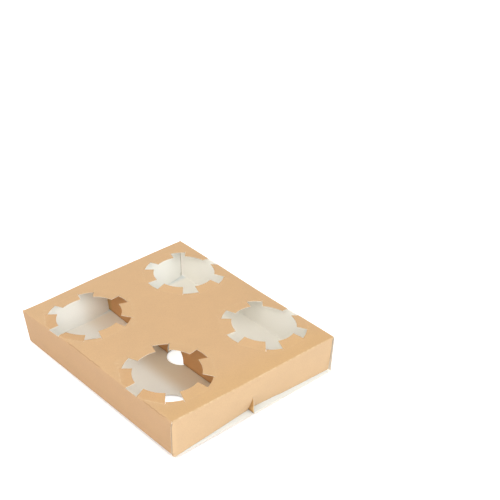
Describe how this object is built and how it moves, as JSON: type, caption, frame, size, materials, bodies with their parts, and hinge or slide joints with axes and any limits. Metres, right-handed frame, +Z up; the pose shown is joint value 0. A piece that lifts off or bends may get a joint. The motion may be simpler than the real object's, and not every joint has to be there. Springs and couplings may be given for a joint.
{
  "type": "cup carrier",
  "caption": "Flat kraft paperboard tray folded from one sheet, with notched round holes in its top panel that grip takeaway cups, an inner partition and bowed, slit-locked end flaps.",
  "frame": {"origin": "middle of the underside of the floor, on the table", "axes": "+X along the length, from end flap to end flap; +Y across the width, towards the side wall of the upper floor panel; +Z up, out of the cup holes"},
  "size_m": [0.209, 0.18, 0.036],
  "materials": {
    "kraft_board": "uncoated kraft paperboard, white on the inner face"
  },
  "bodies": {
    "root": {"carrier": "kraft_board"}
  },
  "joints": []
}
